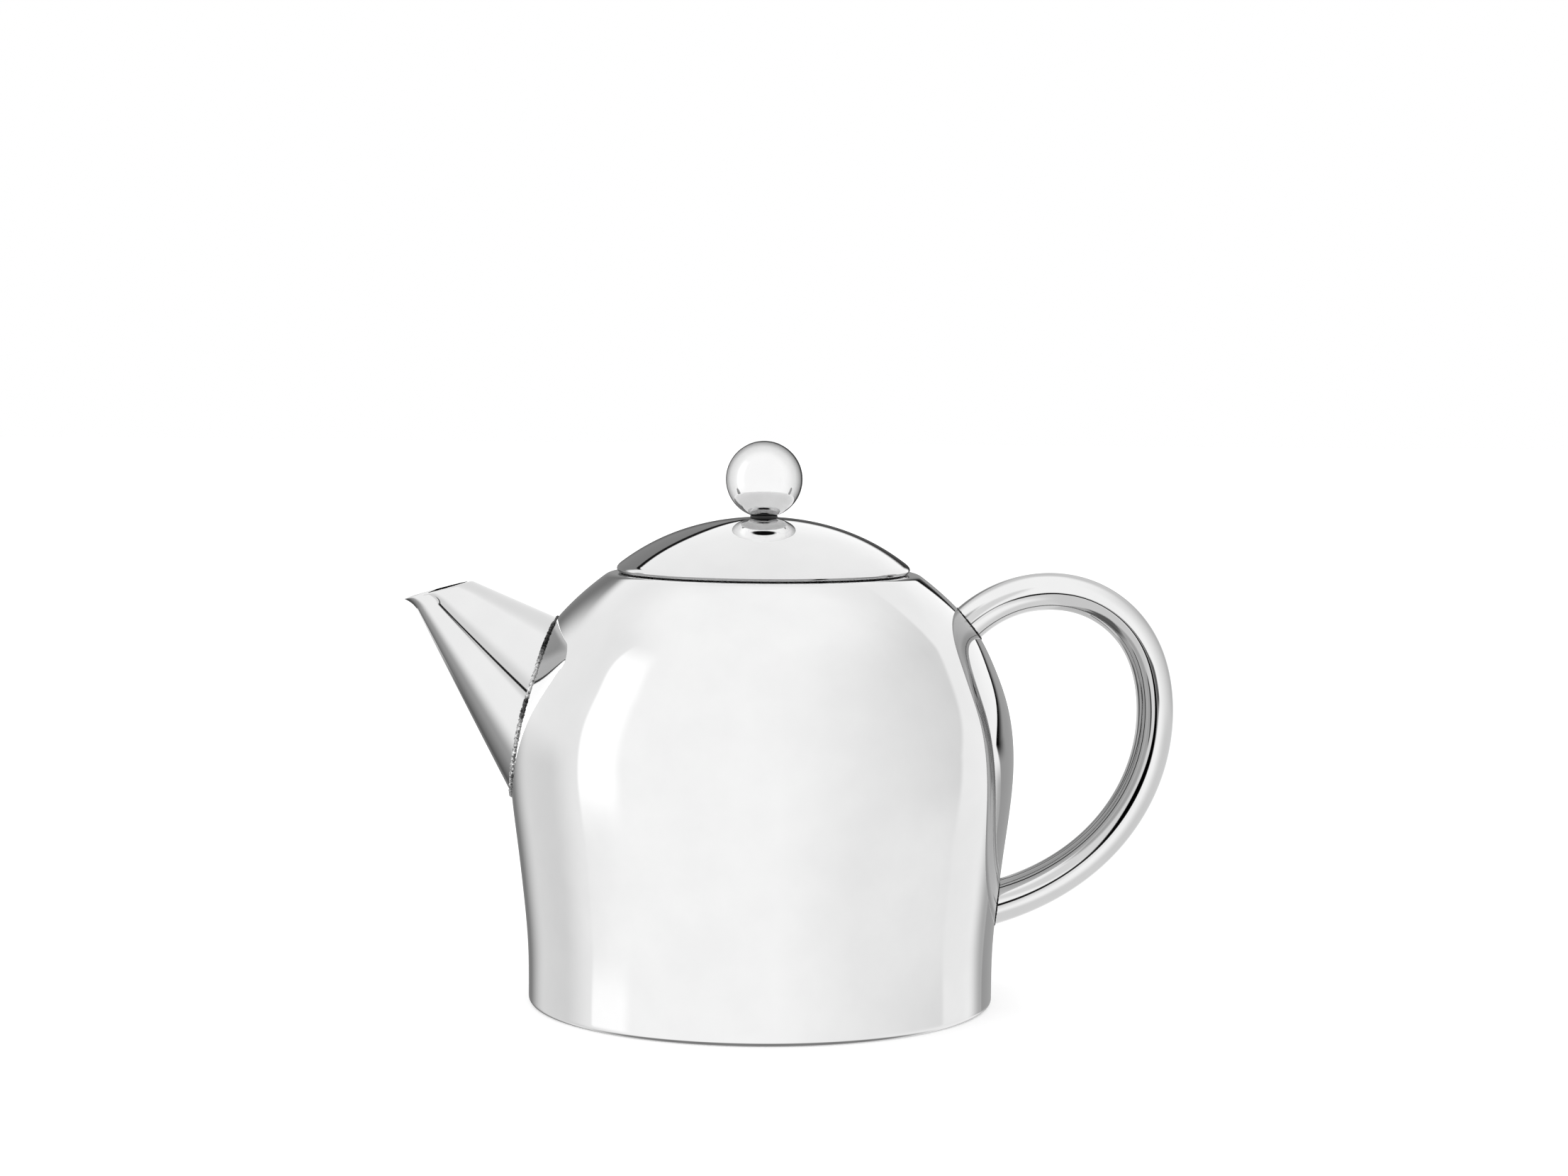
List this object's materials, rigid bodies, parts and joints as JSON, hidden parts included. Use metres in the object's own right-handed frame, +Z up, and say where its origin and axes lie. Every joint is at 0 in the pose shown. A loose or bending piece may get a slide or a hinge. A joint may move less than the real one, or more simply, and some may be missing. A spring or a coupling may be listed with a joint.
{
  "type": "double-walled teapot",
  "caption": "Polished steel teapot with a conical spout, tubular ear handle, lift-off domed lid with ball knob and a lift-out tea basket.",
  "frame": {"origin": "centre of the round foot, on the plane the pot stands on", "axes": "+Z up along the body's axis, +X towards the handle, so the spout points to -X, and +Y completes the frame; Y = 0 is the plane of symmetry"},
  "size_m": [0.2148, 0.1402, 0.1563],
  "materials": {
    "polished_steel": "mirror-polished stainless steel",
    "satin_steel": "satin stainless steel, inside surfaces and underside",
    "weld_steel": "ground and polished weld seam, slightly rough",
    "dark_washer": "matt black heat-resistant washer"
  },
  "bodies": {
    "pot": {"outer_shell": "polished_steel", "base_plate": "satin_steel", "mouth_ring": "polished_steel", "inner_vessel": "satin_steel", "spout": "polished_steel", "spout_weld_bead": "weld_steel", "spout_sleeve": "satin_steel", "handle": "polished_steel", "handle_upper_weld": "weld_steel", "handle_lower_weld": "weld_steel"},
    "infuser": {"infuser_rim": "polished_steel", "infuser_wall": "satin_steel", "infuser_floor": "satin_steel"},
    "lid": {"lid_cover": "polished_steel", "lid_liner": "satin_steel", "knob_ball": "polished_steel", "knob_washer": "dark_washer", "knob_screw": "satin_steel", "knob_inner_washer": "satin_steel"}
  },
  "joints": [
    {"name": "infuser_lift", "type": "slide", "parent": "pot", "child": "infuser", "axis": [0, 0, 1], "range_m": [0, 0.085]},
    {"name": "lid_lift", "type": "slide", "parent": "infuser", "child": "lid", "axis": [0, 0, 1], "range_m": [0, 0.06]}
  ]
}
